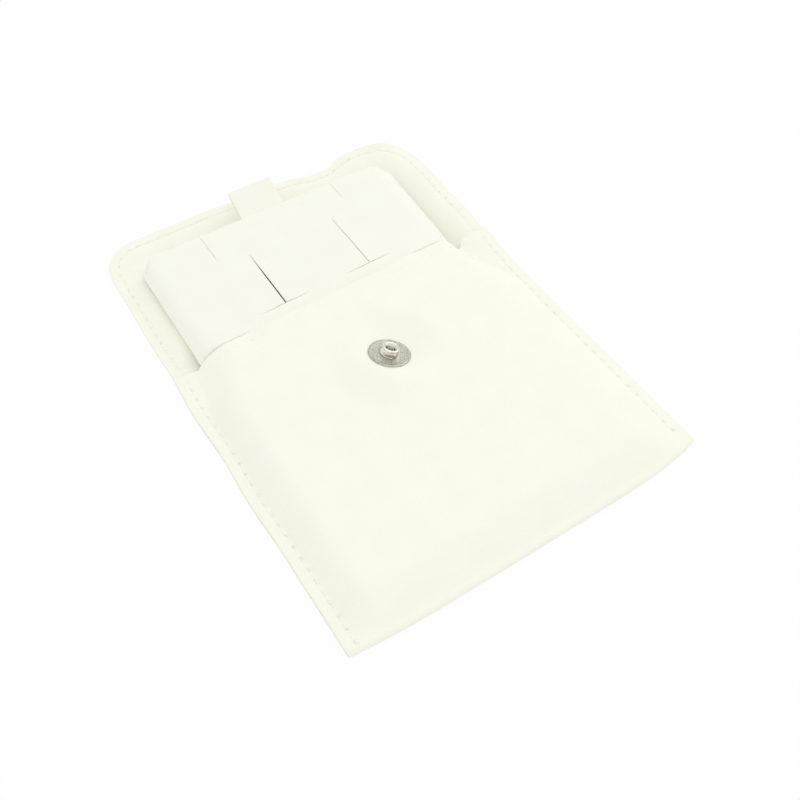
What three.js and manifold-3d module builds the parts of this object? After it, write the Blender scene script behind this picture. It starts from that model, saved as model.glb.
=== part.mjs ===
// Jewelry pouch: a two-layer cloth envelope with a snap flap and a slit display pad drawn half out.
// Millimetres. X runs across the pouch, Y runs from the bottom fold to the flap's end, Z is up.
// The pouch lies open on its back. Heights are counted from the surface that it lies on.
import * as THREE from "three";
import { mergeVertices } from "three/addons/utils/BufferGeometryUtils.js";
import Module from "manifold-3d";

const wasm = await Module();
wasm.setup();

// Cloth: microfibre outside, thinner microfibre lining, a little air between the two
const outerThickness = 0.5;
const liningThickness = 0.4;
const layerGap = 0.15;

// Pocket: one strip of each layer, folded at the bottom and sewn up both sides
const pouchWidth = 90;
const pocketDepth = 78.3;
const bottomBow = 1.8;
const seamMargin = 3;
const seamGap = 0.2;

// Flap: runs on from the back panel past the mouth
const creaseAboveMouth = 5.7;
const creaseWidth = 3;
const flapLength = 42;
const flapCornerRadius = 11;

// Display pad: foam on board, wrapped in microfibre, drawn part of the way out of the pocket
const padSideRoom = 5.5;
const padPastMouth = 1.7;
const padThickness = 3.3;
const padCornerRadius = 4;
const padInnerCorner = 0.5;
const padEdgeRadius = 1.2;
const padOffset = -1.4;
const padHome = 5;
const padDrawnOut = 36;
const padTilt = THREE.MathUtils.degToRad(0.95);
const padFloorGap = 0.3;
const padRoofGap = 0.7;
const coverThickness = 0.5;
const boardThickness = 0.8;
const backingThickness = 0.3;
const glueFilm = 0.1;
const turnedEdge = 8;
const windowCorner = 1;
const backingInset = 2.5;

// Slits that hold a chain and earrings
const slitWidth = 0.4;
const hangerSlitSpacing = 24.5;
const hangerSlitLength = 18.8;
const hangerSlitFromTip = 13.4;
const hangerBarLength = 13;
const edgeSlitSpacing = 39.7;
const edgeSlitLength = 9.4;

// Pull tab: a folded strip at the pad's tip
const tabWidth = 12.4;
const tabLength = 8.5;
const tabPly = 0.45;
const tabPlyGap = 0.2;
const tabOffset = -0.6;
const tabGap = 0.3;
const tabRise = THREE.MathUtils.degToRad(27);

// Snap fastener: stud and post on the front panel, socket and cap on the flap
const studX = -0.7;
const studBelowMouth = 23.5;
const snapFlangeRadius = 5.1;
const snapSheet = 0.3;
const studHeight = 1.4;
const studHeadRadius = 1.75;
const studNeckRadius = 1.35;
const studFlare = 0.3;
const studNeckLength = 0.5;
const studCrown = 0.25;
const postRadius = 0.85;
const postWall = 0.3;
const snapClearance = 0.15;
const rivetGap = 0.05;
const rivetFlare = 0.2;
const socketRimRadius = 3.1;
const springWire = 0.45;
const springMouthAngle = THREE.MathUtils.degToRad(50);
const capRadius = 5.3;

// Worked out from the sizes above
const panelThickness = outerThickness + layerGap + liningThickness;
const seamThickness = 2 * panelThickness + seamGap;
const foldRadius = seamThickness / 2;
const halfWidth = pouchWidth / 2;
const seamLine = halfWidth - seamMargin;
const studY = pocketDepth - studBelowMouth;
const creaseStart = pocketDepth + creaseAboveMouth;
const flapStart = creaseStart + creaseWidth;
const flapEnd = flapStart + flapLength;
const padWidth = 2 * (seamLine - padSideRoom);
const padLength = pocketDepth + padPastMouth - padHome;
const padFloor = panelThickness + padFloorGap;
const padLeft = padOffset - padWidth / 2;
const padRight = padOffset + padWidth / 2;
const leftTop = padLeft + padEdgeRadius / 2;
const rightTop = padRight - padEdgeRadius / 2;
const frontRampEnd = padHome + padEdgeRadius / 2;
const liningBottom = outerThickness + layerGap;

// How far a cutter runs past what it cuts
const overrun = 1;

// Smooth step from 0 to 1 with level ends
function ease(value) {
  const t = THREE.MathUtils.clamp(value, 0, 1);
  return t * t * (3 - 2 * t);
}

// Values at even steps from start to end, both ends included
function spread(start, end, steps) {
  return Array.from({ length: steps + 1 }, (_, i) => start + ((end - start) * i) / steps);
}

// Geometry with shared corners and its faces turned outwards
function tidied(geometry) {
  const bare = geometry.clone();
  bare.deleteAttribute("normal");
  bare.deleteAttribute("uv");
  const merged = mergeVertices(bare, 1e-5);
  const at = merged.attributes.position;
  const index = merged.index.array;
  const corners = [new THREE.Vector3(), new THREE.Vector3(), new THREE.Vector3()];
  let volume = 0;
  for (let i = 0; i < index.length; i += 3) {
    corners.forEach((corner, k) => corner.fromBufferAttribute(at, index[i + k]));
    volume += corners[0].dot(corners[1].cross(corners[2]));
  }
  if (volume < 0) {
    for (let i = 0; i < index.length; i += 3) {
      [index[i], index[i + 1]] = [index[i + 1], index[i]];
    }
  }
  return merged;
}

// Solid for cutting and joining
function solidOf(geometry) {
  const clean = tidied(geometry);
  return new wasm.Manifold(new wasm.Mesh({
    numProp: 3,
    vertProperties: new Float32Array(clean.attributes.position.array),
    triVerts: new Uint32Array(clean.index.array),
  }));
}

// Geometry of a cut or joined solid
function geometryOf(solid) {
  const mesh = solid.getMesh();
  const geometry = new THREE.BufferGeometry();
  geometry.setAttribute("position", new THREE.BufferAttribute(new Float32Array(mesh.vertProperties), 3));
  geometry.setIndex(new THREE.BufferAttribute(new Uint32Array(mesh.triVerts), 1));
  return geometry;
}

// One solid with each of the other solids cut out of it
function cut(solid, ...tools) {
  return tools.reduce((rest, tool) => rest.subtract(tool), solid);
}

// Named piece in its own material, added to a group
function piece(group, name, geometry, material) {
  const mesh = new THREE.Mesh(tidied(geometry), material.clone());
  mesh.name = name;
  group.add(mesh);
  return mesh;
}

// Flat plate of a drawn outline, its underside at the given height
function plate(shape, thickness, bottom) {
  const geometry = new THREE.ExtrudeGeometry(shape, { depth: thickness, bevelEnabled: false, curveSegments: 8 });
  return geometry.translate(0, 0, bottom);
}

// Round piece turned from a profile of [radius, height] pairs that closes on itself
function turned(profile, segments = 32) {
  const points = [...profile, profile[0]].map(([radius, height]) => new THREE.Vector2(radius, height));
  return new THREE.LatheGeometry(points, segments).rotateX(Math.PI / 2);
}

// Upright round cutter
function drill(radius, bottom, top, x = 0, y = 0) {
  const geometry = new THREE.CylinderGeometry(radius, radius, top - bottom, 32).rotateX(Math.PI / 2);
  return solidOf(geometry.translate(x, y, (top + bottom) / 2));
}

// Rectangle with round corners, its lower edge on y = start
function roundedRectangle(centreX, start, width, length, radius) {
  const shape = new THREE.Shape();
  const left = centreX - width / 2;
  const right = centreX + width / 2;
  const end = start + length;
  shape.moveTo(left + radius, start);
  shape.lineTo(right - radius, start);
  shape.absarc(right - radius, start + radius, radius, -Math.PI / 2, 0);
  shape.lineTo(right, end - radius);
  shape.absarc(right - radius, end - radius, radius, 0, Math.PI / 2);
  shape.lineTo(left + radius, end);
  shape.absarc(left + radius, end - radius, radius, Math.PI / 2, Math.PI);
  shape.lineTo(left, start + radius);
  shape.absarc(left + radius, start + radius, radius, Math.PI, 1.5 * Math.PI);
  return shape;
}

// Closed sheet: a plate of cells whose corners are placed by place(x, station, face)
function sheet(acrossStations, alongStations, place) {
  const nx = acrossStations.length - 1;
  const ny = alongStations.length - 1;
  const geometry = new THREE.BoxGeometry(1, 1, 1, nx, ny, 1);
  const at = geometry.attributes.position;
  for (let i = 0; i < at.count; i += 1) {
    const x = acrossStations[Math.round((at.getX(i) + 0.5) * nx)];
    const station = alongStations[Math.round((at.getY(i) + 0.5) * ny)];
    const spot = place(x, station, Math.round(at.getZ(i) + 0.5));
    at.setXYZ(i, spot.x, spot.y, spot.z);
  }
  return geometry;
}

const outerCloth = new THREE.MeshStandardMaterial({ color: 0xf7f6e6, roughness: 0.9, metalness: 0 });
const liningCloth = new THREE.MeshStandardMaterial({ color: 0xf3f2e2, roughness: 0.9, metalness: 0 });
const padCloth = new THREE.MeshStandardMaterial({ color: 0xf8f7e9, roughness: 0.92, metalness: 0 });
const foam = new THREE.MeshStandardMaterial({ color: 0xe9e4d2, roughness: 0.95, metalness: 0 });
const board = new THREE.MeshStandardMaterial({ color: 0x8f7f66, roughness: 0.85, metalness: 0 });
const backingPaper = new THREE.MeshStandardMaterial({ color: 0xf1efe0, roughness: 0.8, metalness: 0 });
const nickel = new THREE.MeshStandardMaterial({ color: 0xb9b6aa, roughness: 0.35, metalness: 1 });
const springBrass = new THREE.MeshStandardMaterial({ color: 0xb59a5a, roughness: 0.4, metalness: 1 });

// Pocket surface
// The bottom fold bows out between the side seams
function bottomEdge(x) {
  return -bottomBow * (1 - (x / halfWidth) ** 2);
}

// Height of the front panel's outside above the back of the pocket, where the pad lifts it
function roof(y) {
  const padTop = padFloor + (y - padHome) * Math.tan(padTilt) + padThickness / Math.cos(padTilt);
  return padTop + padRoofGap + panelThickness;
}

// Front panel's outside: flat on the seams, up over the pad's sides and over its lower end
function frontHeight(x, y) {
  const start = bottomEdge(x) + foldRadius;
  const side = x < padOffset ? (x + seamLine) / (leftTop + seamLine) : (seamLine - x) / (seamLine - rightTop);
  const lift = ease(side) * ease((y - start) / (frontRampEnd - start));
  return seamThickness + lift * (roof(y) - seamThickness);
}

// Cloth on a slope takes more height for the same thickness
function slopeFactor(x, y) {
  const step = 0.01;
  const alongX = (frontHeight(x + step, y) - frontHeight(x - step, y)) / (2 * step);
  const alongY = (frontHeight(x, y + step) - frontHeight(x, y - step)) / (2 * step);
  return Math.sqrt(1 + alongX ** 2 + alongY ** 2);
}

// Point of the folded strip at a depth under its outside: back panel, bottom fold, front panel
function pocketPoint(x, station, depth) {
  const tangent = bottomEdge(x) + foldRadius;
  if (station.panel === "back") {
    return new THREE.Vector3(x, THREE.MathUtils.lerp(creaseStart, tangent, station.share), depth);
  }
  if (station.panel === "fold") {
    const angle = Math.PI * station.share;
    const radius = foldRadius - depth;
    return new THREE.Vector3(x, tangent - radius * Math.sin(angle), foldRadius - radius * Math.cos(angle));
  }
  const y = station.panel === "ramp" ? THREE.MathUtils.lerp(tangent, frontRampEnd, station.share)
    : THREE.MathUtils.lerp(frontRampEnd, pocketDepth, station.share);
  return new THREE.Vector3(x, y, frontHeight(x, y) - depth * slopeFactor(x, y));
}

// Where the strip is divided: finely on its slopes and its fold, coarsely where it is flat
const seamSteps = 2;
const slopeSteps = 6;
const topSteps = 10;
const panelSteps = { back: 4, fold: 8, ramp: slopeSteps, front: 8 };
const acrossPocket = [
  ...spread(-halfWidth, -seamLine, seamSteps),
  ...spread(-seamLine, leftTop, slopeSteps).slice(1),
  ...spread(leftTop, rightTop, topSteps).slice(1),
  ...spread(rightTop, seamLine, slopeSteps).slice(1),
  ...spread(seamLine, halfWidth, seamSteps).slice(1),
];
const alongPocket = Object.entries(panelSteps).flatMap(([panel, steps]) => {
  const shares = spread(0, 1, steps).slice(panel === "back" ? 0 : 1);
  return shares.map((share) => ({ panel, share }));
});

// One layer of the pocket between two depths, with the post's hole through the front
function pocketLayer(depth, thickness) {
  const folded = sheet(acrossPocket, alongPocket, (x, station, face) => {
    return pocketPoint(x, station, depth + (face === 1 ? 0 : thickness));
  });
  const postHole = drill(postRadius + snapClearance, seamThickness, roof(studY) + overrun, studX, studY);
  return geometryOf(cut(solidOf(folded), postHole));
}

// Flap outline between its crease and its round end corners
function flapShape() {
  const shape = new THREE.Shape();
  shape.moveTo(-halfWidth, flapStart);
  shape.lineTo(halfWidth, flapStart);
  shape.lineTo(halfWidth, flapEnd - flapCornerRadius);
  shape.absarc(halfWidth - flapCornerRadius, flapEnd - flapCornerRadius, flapCornerRadius, 0, Math.PI / 2);
  shape.lineTo(-halfWidth + flapCornerRadius, flapEnd);
  shape.absarc(-halfWidth + flapCornerRadius, flapEnd - flapCornerRadius, flapCornerRadius, Math.PI / 2, Math.PI);
  return shape;
}

const pouch = new THREE.Group();

// Pocket layers
piece(pouch, "outer_shell", pocketLayer(0, outerThickness), outerCloth);
piece(pouch, "shell_lining", pocketLayer(liningBottom, liningThickness), liningCloth);

// Crease strips: the stretch of both layers that bends when the flap is folded
const creaseShape = new THREE.Shape([
  new THREE.Vector2(-halfWidth, creaseStart),
  new THREE.Vector2(halfWidth, creaseStart),
  new THREE.Vector2(halfWidth, flapStart),
  new THREE.Vector2(-halfWidth, flapStart),
]);
piece(pouch, "crease_outer", plate(creaseShape, outerThickness, 0), outerCloth);
piece(pouch, "crease_lining", plate(creaseShape, liningThickness, liningBottom), liningCloth);

// Snap socket's place: the flap turns over the mouth in a half circle and brings it down on the stud
const creaseMiddle = creaseStart + creaseWidth / 2;
const wrapRadius = roof(studY) / 2;
const bendStart = creaseMiddle - wrapRadius;
const socketY = bendStart + Math.PI * wrapRadius + (bendStart - studY);
const shankHole = postRadius + snapClearance;

// Flap layers, squeezed to half their outer thickness over the cap that is pressed flush into them
const capSeat = drill(capRadius + snapClearance, -overrun, snapSheet, studX, socketY);
const shankCut = drill(shankHole, -overrun, panelThickness + overrun, studX, socketY);
const flap = new THREE.Group();
pouch.add(flap);
const flapOuter = cut(solidOf(plate(flapShape(), outerThickness, 0)), capSeat, shankCut);
piece(flap, "flap_outer", geometryOf(flapOuter), outerCloth);
const flapLining = cut(solidOf(plate(flapShape(), liningThickness, liningBottom)), shankCut);
piece(flap, "flap_lining", geometryOf(flapLining), liningCloth);

// Socket: a thin flange and a raised rim round a bore. Snapped shut, its rim stands on the stud's
// flange, so the bore is as deep as the stud, and the spring's groove lies level with the stud's neck.
const socketSide = new THREE.Group();
socketSide.position.set(studX, socketY, 0);
flap.add(socketSide);
const socketBottom = panelThickness;
const socketFloor = socketBottom + snapSheet;
const rivetTop = socketFloor + rivetGap + rivetFlare;
const socketTop = rivetTop + rivetGap + studHeight;
const boreRadius = studHeadRadius + snapClearance;
const springCentre = socketTop - studFlare - studNeckLength / 2;
const grooveHalf = springWire / 2 + snapClearance;
const grooveRadius = socketRimRadius - snapSheet;
piece(socketSide, "snap_socket", turned([
  [shankHole, socketBottom],
  [snapFlangeRadius, socketBottom],
  [snapFlangeRadius, socketFloor],
  [socketRimRadius + snapSheet, socketFloor],
  [socketRimRadius, socketFloor + snapSheet],
  [socketRimRadius, socketTop - snapSheet],
  [socketRimRadius - snapSheet, socketTop],
  [boreRadius + snapSheet / 2, socketTop],
  [boreRadius, socketTop - snapSheet / 2],
  [boreRadius, springCentre + grooveHalf],
  [grooveRadius, springCentre + grooveHalf],
  [grooveRadius, springCentre - grooveHalf],
  [boreRadius, springCentre - grooveHalf],
  [boreRadius, socketFloor],
  [shankHole, socketFloor],
]), nickel);

// Spring: a split ring of wire that grips the stud's neck
class SplitRing extends THREE.Curve {
  getPoint(t, target = new THREE.Vector3()) {
    const angle = springMouthAngle / 2 + (2 * Math.PI - springMouthAngle) * t;
    const radius = studNeckRadius + snapClearance + springWire / 2;
    return target.set(radius * Math.cos(angle), radius * Math.sin(angle), springCentre);
  }
}
const wireSection = new THREE.Shape();
wireSection.absarc(0, 0, springWire / 2, 0, 2 * Math.PI);
const springPath = { extrudePath: new SplitRing(), steps: 24, curveSegments: 4, bevelEnabled: false };
piece(socketSide, "socket_spring", new THREE.ExtrudeGeometry(wireSection, springPath), springBrass);

// Cap: a thin disc on the flap's outside with a hollow shank that is flared inside the socket
const shankTop = socketFloor + rivetGap;
piece(socketSide, "snap_cap", turned([
  [0, 0],
  [capRadius - snapSheet, 0],
  [capRadius, snapSheet / 2],
  [capRadius - snapSheet / 3, snapSheet],
  [postRadius, snapSheet],
  [postRadius, shankTop],
  [postRadius + postWall, rivetTop],
  [postRadius - postWall / 2, rivetTop],
  [postRadius - postWall, shankTop],
  [postRadius - postWall, snapSheet + postWall],
  [0, snapSheet + postWall],
]), nickel);

// Stud side: stands square on the front panel, which rises with the pad under it
const studSide = new THREE.Group();
studSide.position.set(studX, studY, roof(studY));
studSide.rotation.x = padTilt;
pouch.add(studSide);
const flangeBottom = snapClearance;
const flangeTop = flangeBottom + snapSheet;
const neckStart = flangeTop + studFlare;
const neckEnd = neckStart + studNeckLength;
const studTop = flangeTop + studHeight;
const studBore = postRadius + snapClearance;
piece(studSide, "snap_stud", turned([
  [studBore, flangeBottom],
  [snapFlangeRadius - snapSheet / 2, flangeBottom],
  [snapFlangeRadius, flangeBottom + snapSheet / 2],
  [snapFlangeRadius - snapSheet / 2, flangeTop],
  [studHeadRadius, flangeTop],
  [studNeckRadius, neckStart],
  [studNeckRadius, neckEnd],
  [studHeadRadius, neckEnd + studFlare],
  [studHeadRadius, studTop - studCrown],
  [studHeadRadius - snapSheet, studTop],
  [studBore + snapSheet / 2, studTop],
  [studBore, studTop - snapSheet / 2],
]), nickel);

// Post: a washer inside the pocket with a hollow shank through both layers and up the stud
const washerTop = -panelThickness - snapClearance;
const washerBottom = washerTop - snapSheet;
const postTop = studTop - studCrown;
piece(studSide, "stud_post", turned([
  [postRadius - postWall, washerBottom],
  [snapFlangeRadius - snapSheet / 2, washerBottom],
  [snapFlangeRadius, washerBottom + snapSheet / 2],
  [snapFlangeRadius - snapSheet / 2, washerTop],
  [postRadius, washerTop],
  [postRadius, postTop],
  [postRadius - postWall, postTop],
]), nickel);

// Display pad in its own frame: its lower end on y = 0 and its underside on z = 0
const pad = new THREE.Group();
pad.position.set(
  padOffset,
  padHome + padDrawnOut * Math.cos(padTilt),
  padFloor + padDrawnOut * Math.sin(padTilt),
);
pad.rotation.x = padTilt;
pouch.add(pad);

// Heights of the pad's layers, from the backing up to the cover
const coverBottom = backingThickness + glueFilm;
const cavityBottom = coverBottom + coverThickness;
const cavityTop = padThickness - coverThickness;
const boardBottom = cavityBottom + glueFilm;
const foamBottom = boardBottom + boardThickness + glueFilm;

// Upright cutter for a straight slit that goes down through the cover and the foam
function slitCutter(x, fromY, width, length) {
  const geometry = new THREE.BoxGeometry(width, length, padThickness);
  return solidOf(geometry.translate(x, fromY + length / 2, foamBottom - glueFilm / 2 + padThickness / 2));
}

// The slits: two with a cross bar at the foot, and two shorter ones open at the tip's edge
const slits = [-1, 1].flatMap((side) => {
  const hangerFoot = padLength - hangerSlitFromTip - hangerSlitLength;
  const hangerX = (side * hangerSlitSpacing) / 2;
  const edgeX = (side * edgeSlitSpacing) / 2;
  return [
    slitCutter(hangerX, hangerFoot, slitWidth, hangerSlitLength),
    slitCutter(hangerX, hangerFoot - slitWidth / 2, hangerBarLength, slitWidth),
    slitCutter(edgeX, padLength - edgeSlitLength, slitWidth, edgeSlitLength + overrun),
  ];
});

// Soft-edged block: a rounded rectangle with its upper and lower edges rounded too
function softBlock(inset, bottom, top, edge) {
  const shape = roundedRectangle(
    0,
    inset + edge,
    padWidth - 2 * (inset + edge),
    padLength - 2 * (inset + edge),
    Math.max(padCornerRadius - inset - edge, padInnerCorner),
  );
  const geometry = new THREE.ExtrudeGeometry(shape, {
    depth: top - bottom - 2 * edge,
    bevelThickness: edge,
    bevelSize: edge,
    bevelSegments: 3,
    curveSegments: 6,
  });
  return geometry.translate(0, 0, bottom + edge);
}

// Cover: wraps the foam and the board, and its edge is turned in underneath round an open window
const cavityEdge = padEdgeRadius - coverThickness;
const outside = solidOf(softBlock(0, coverBottom, padThickness, padEdgeRadius));
const inside = solidOf(softBlock(coverThickness, cavityBottom, cavityTop, cavityEdge));
const windowInset = coverThickness + turnedEdge;
const windowWidth = padWidth - 2 * windowInset;
const windowLength = padLength - 2 * windowInset;
const windowShape = roundedRectangle(0, windowInset, windowWidth, windowLength, windowCorner);
const windowCut = solidOf(plate(windowShape, coverThickness * 2, coverBottom - coverThickness / 2));
piece(pad, "pad_cover", geometryOf(cut(outside, inside, windowCut, ...slits)), padCloth);

// Foam and board fill the cover, and a paper backing covers the turned edge
function fillingShape(inset) {
  const corner = Math.max(padCornerRadius - inset, padInnerCorner);
  return roundedRectangle(0, inset, padWidth - 2 * inset, padLength - 2 * inset, corner);
}
const fillingInset = coverThickness + cavityEdge;
const foamThickness = cavityTop - glueFilm - foamBottom;
const foamSlab = solidOf(plate(fillingShape(fillingInset), foamThickness, foamBottom));
piece(pad, "pad_foam", geometryOf(cut(foamSlab, ...slits)), foam);
piece(pad, "pad_board", plate(fillingShape(fillingInset), boardThickness, boardBottom), board);
piece(pad, "pad_backing", plate(fillingShape(backingInset), backingThickness, 0), backingPaper);

// Pull tab: two plies with a round fold at the free end, rising from the middle of the pad's tip.
// It bends about the upper edge of its root, where its frame stands.
const tabThickness = 2 * tabPly + tabPlyGap;
const tab = new THREE.Group();
tab.position.set(tabOffset, padLength + tabGap, (padThickness + tabThickness) / 2);
tab.rotation.x = tabRise;
pad.add(tab);
const tabFold = tabLength - tabThickness / 2;
const hairpin = new THREE.Shape();
hairpin.moveTo(0, -tabThickness);
hairpin.lineTo(tabFold, -tabThickness);
hairpin.absarc(tabFold, -tabThickness / 2, tabThickness / 2, -Math.PI / 2, Math.PI / 2);
hairpin.lineTo(0, 0);
hairpin.lineTo(0, -tabPly);
hairpin.lineTo(tabFold, -tabPly);
hairpin.absarc(tabFold, -tabThickness / 2, tabPlyGap / 2, Math.PI / 2, -Math.PI / 2, true);
hairpin.lineTo(0, tabPly - tabThickness);
const tabStrip = new THREE.ExtrudeGeometry(hairpin, { depth: tabWidth, bevelEnabled: false, curveSegments: 6 });
tabStrip.applyMatrix4(new THREE.Matrix4().makeBasis(
  new THREE.Vector3(0, 1, 0),
  new THREE.Vector3(0, 0, 1),
  new THREE.Vector3(1, 0, 0),
));
tabStrip.translate(-tabWidth / 2, 0, 0);
piece(tab, "pull_tab", tabStrip, padCloth);

// Origin under the middle of the whole pouch
pouch.position.y = (bottomBow - flapEnd) / 2;

export default pouch;
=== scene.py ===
import math
import bmesh
import bpy
from mathutils import Matrix, Vector, geometry, kdtree, noise


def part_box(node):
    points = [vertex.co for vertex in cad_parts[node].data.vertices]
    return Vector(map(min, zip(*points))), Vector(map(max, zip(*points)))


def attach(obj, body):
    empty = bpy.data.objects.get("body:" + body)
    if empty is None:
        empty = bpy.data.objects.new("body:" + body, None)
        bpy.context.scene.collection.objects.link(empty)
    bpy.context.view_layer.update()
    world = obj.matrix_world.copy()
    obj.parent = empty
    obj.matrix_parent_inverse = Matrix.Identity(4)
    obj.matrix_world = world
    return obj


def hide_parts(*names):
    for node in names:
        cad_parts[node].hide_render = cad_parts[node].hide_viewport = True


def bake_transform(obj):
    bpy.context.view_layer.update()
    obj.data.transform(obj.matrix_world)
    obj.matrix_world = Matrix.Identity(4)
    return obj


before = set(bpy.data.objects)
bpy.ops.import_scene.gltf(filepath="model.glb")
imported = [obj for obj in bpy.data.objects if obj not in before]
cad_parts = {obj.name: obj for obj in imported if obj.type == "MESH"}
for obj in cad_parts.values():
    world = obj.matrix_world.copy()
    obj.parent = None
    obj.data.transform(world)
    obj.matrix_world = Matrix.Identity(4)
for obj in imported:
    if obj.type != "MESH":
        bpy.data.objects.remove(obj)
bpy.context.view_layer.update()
bpy.context.scene.view_settings.view_transform = "Standard"

# Camera. The pouch lies open on a table and is seen from its lower left, from well above.
# Sizes are in millimetres all through, with y counted from the bottom corners of the pouch.
BOTTOM_BOW = 1.8
CORNERS_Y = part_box("outer_shell")[0].y * 1000 + BOTTOM_BOW


def spot(x, y, z):
    """A point of the pouch, in millimetres from its bottom corners, as metres in the frame."""
    return Vector((x, y + CORNERS_Y, z)) / 1000


CAMERA_TARGET = spot(-3.9, 45.3, 1.6)
CAMERA_DISTANCE = 0.1989
CAMERA_AZIMUTH = math.radians(-33.1)
CAMERA_ELEVATION = math.radians(53.9)
FOCAL_PIXELS = 860
PHOTO_PIXELS = 800

camera_data = bpy.data.cameras.new("camera")
camera = bpy.data.objects.new("camera", camera_data)
bpy.context.collection.objects.link(camera)
bpy.context.scene.camera = camera
backward = Vector((
    math.sin(CAMERA_AZIMUTH) * math.cos(CAMERA_ELEVATION),
    -math.cos(CAMERA_AZIMUTH) * math.cos(CAMERA_ELEVATION),
    math.sin(CAMERA_ELEVATION),
))
camera.location = CAMERA_TARGET + backward * CAMERA_DISTANCE
camera.rotation_mode = "QUATERNION"
camera.rotation_quaternion = (-backward).to_track_quat("-Z", "Y")
camera_data.sensor_width = 36
camera_data.lens = FOCAL_PIXELS / PHOTO_PIXELS * camera_data.sensor_width
camera_data.clip_start = 0.01
camera_data.clip_end = 10


# Table and light. A white table top and backdrop, a broad soft lamp on the right, and an even sky.
# One small function adds a shader node with its settings and links, and one reads a hex colour.
def add_node(tree, kind, values=None, links=None, **settings):
    """Adds a node. Values and links go by socket name or number, and a link is a (node, output) pair."""
    node = tree.nodes.new(kind)
    for name, value in settings.items():
        setattr(node, name, value)
    for socket, value in (values or {}).items():
        node.inputs[socket].default_value = value
    for socket, (source, output) in (links or {}).items():
        tree.links.new(source.outputs[output], node.inputs[socket])
    return node


def hex_colour(code):
    """An sRGB hex colour as linear red, green, blue and alpha."""
    parts = [int(code[i:i + 2], 16) / 255 for i in (1, 3, 5)]
    return [c / 12.92 if c <= 0.04045 else ((c + 0.055) / 1.055) ** 2.4 for c in parts] + [1.0]


def new_material(name):
    """An empty material with its output node, as (material, tree, output)."""
    material = bpy.data.materials.new(name)
    material.use_nodes = True
    tree = material.node_tree
    tree.nodes.clear()
    return material, tree, tree.nodes.new("ShaderNodeOutputMaterial")


def mesh_piece(name, bm, material):
    """A bmesh as a smooth-shaded object of one material."""
    mesh = bpy.data.meshes.new(name)
    bm.to_mesh(mesh)
    bm.free()
    mesh.materials.append(material)
    mesh.shade_smooth()
    piece = bpy.data.objects.new(name, mesh)
    bpy.context.collection.objects.link(piece)
    return piece


TABLE_SIZE = 4.0
table_paint, tree, output = new_material("white table")
shade = add_node(tree, "ShaderNodeBsdfDiffuse", {"Color": hex_colour("#f4f4f4")})
white = add_node(tree, "ShaderNodeEmission", {"Color": (1, 1, 1, 1), "Strength": 1.0})
path = add_node(tree, "ShaderNodeLightPath")
seen = add_node(tree, "ShaderNodeMath", {}, {0: (path, "Is Camera Ray"), 1: (path, "Is Glossy Ray")},
                operation="MAXIMUM")
share = add_node(tree, "ShaderNodeMath", {1: 0.93}, {0: (seen, 0)}, operation="MULTIPLY")
blended = add_node(tree, "ShaderNodeMixShader", {}, {0: (share, 0), 1: (shade, 0), 2: (white, 0)})
tree.links.new(blended.outputs[0], output.inputs["Surface"])
bm = bmesh.new()
bmesh.ops.create_grid(bm, x_segments=1, y_segments=1, size=TABLE_SIZE / 2)
bmesh.ops.translate(bm, verts=bm.verts, vec=(0, 0, -0.00005))
table_top = mesh_piece("table_top", bm, table_paint)

world = bpy.data.worlds.new("sky")
bpy.context.scene.world = world
world.use_nodes = True
tree = world.node_tree
tree.nodes.clear()
path = add_node(tree, "ShaderNodeLightPath")
soft_sky = add_node(tree, "ShaderNodeBackground", {"Color": (1, 1, 1, 1), "Strength": 0.94})
white_sky = add_node(tree, "ShaderNodeBackground", {"Color": (1, 1, 1, 1), "Strength": 1.0})
blended = add_node(tree, "ShaderNodeMixShader", {},
                   {0: (path, "Is Camera Ray"), 1: (soft_sky, 0), 2: (white_sky, 0)})
world_output = tree.nodes.new("ShaderNodeOutputWorld")
tree.links.new(blended.outputs[0], world_output.inputs["Surface"])


def soft_lamp(name, place, aim, size, power):
    """A square area lamp at a place, aimed at a point."""
    data = bpy.data.lights.new(name, "AREA")
    data.shape = "SQUARE"
    data.size = size
    data.energy = power
    lamp = bpy.data.objects.new(name, data)
    bpy.context.collection.objects.link(lamp)
    lamp.location = place
    lamp.rotation_mode = "QUATERNION"
    lamp.rotation_quaternion = (Vector(aim) - Vector(place)).to_track_quat("-Z", "Y")
    return lamp


soft_lamp("window_right", (0.9, 0.3, 0.9), (0, 0, 0), 1.0, 2.1)


# Outer cloth of the envelope: one strip of ivory microfibre, from the mouth down the front, round
# the bottom fold, up the back and on into the round-cornered flap. Its two side edges are raw cut.
HALF_WIDTH = 45.0
MOUTH_Y = 78.3
CREASE_Y = (84.0, 87.0)
FLAP_END = 128.2
FLAP_CORNERS = {-1: 9.6, 1: 12.0}
LAYERS = {"outer": (0.0, 0.52), "lining": (0.56, 0.55)}
SEAM_TOP = 2.3
FOLD_RADIUS = SEAM_TOP / 2
TWO_LAYERS = LAYERS["lining"][0] + LAYERS["lining"][1]
SEAM_INSET = 2.4
SEAM_X = HALF_WIDTH - SEAM_INSET
STITCH_PITCH = 3.0
PAD_TILT = math.radians(0.95)
PAD_FLOOR = 1.35
PAD_HOME = 5.0
PAD_THICKNESS = 3.3
PAD_CENTRE_X = -2.1
PAD_WIDTH = 72.6
PAD_LENGTH = 75.0
STUD_SPOT = (-1.0, 54.3)
STUD_RADIUS = 5.1
STUD_LIFT = 0.5
STUD_LEAN = Vector((0.244, 0.11, 0.963)).normalized()
CAP_LOW, CAP_HIGH = [corner * 1000 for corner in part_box("snap_cap")]
CAP_SPOT = ((CAP_LOW.x + CAP_HIGH.x) / 2, (CAP_LOW.y + CAP_HIGH.y) / 2 - CORNERS_Y)
CAP_RADIUS = (CAP_HIGH.x - CAP_LOW.x) / 2
CAP_SEAT = 0.31
CELL = 0.62


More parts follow.
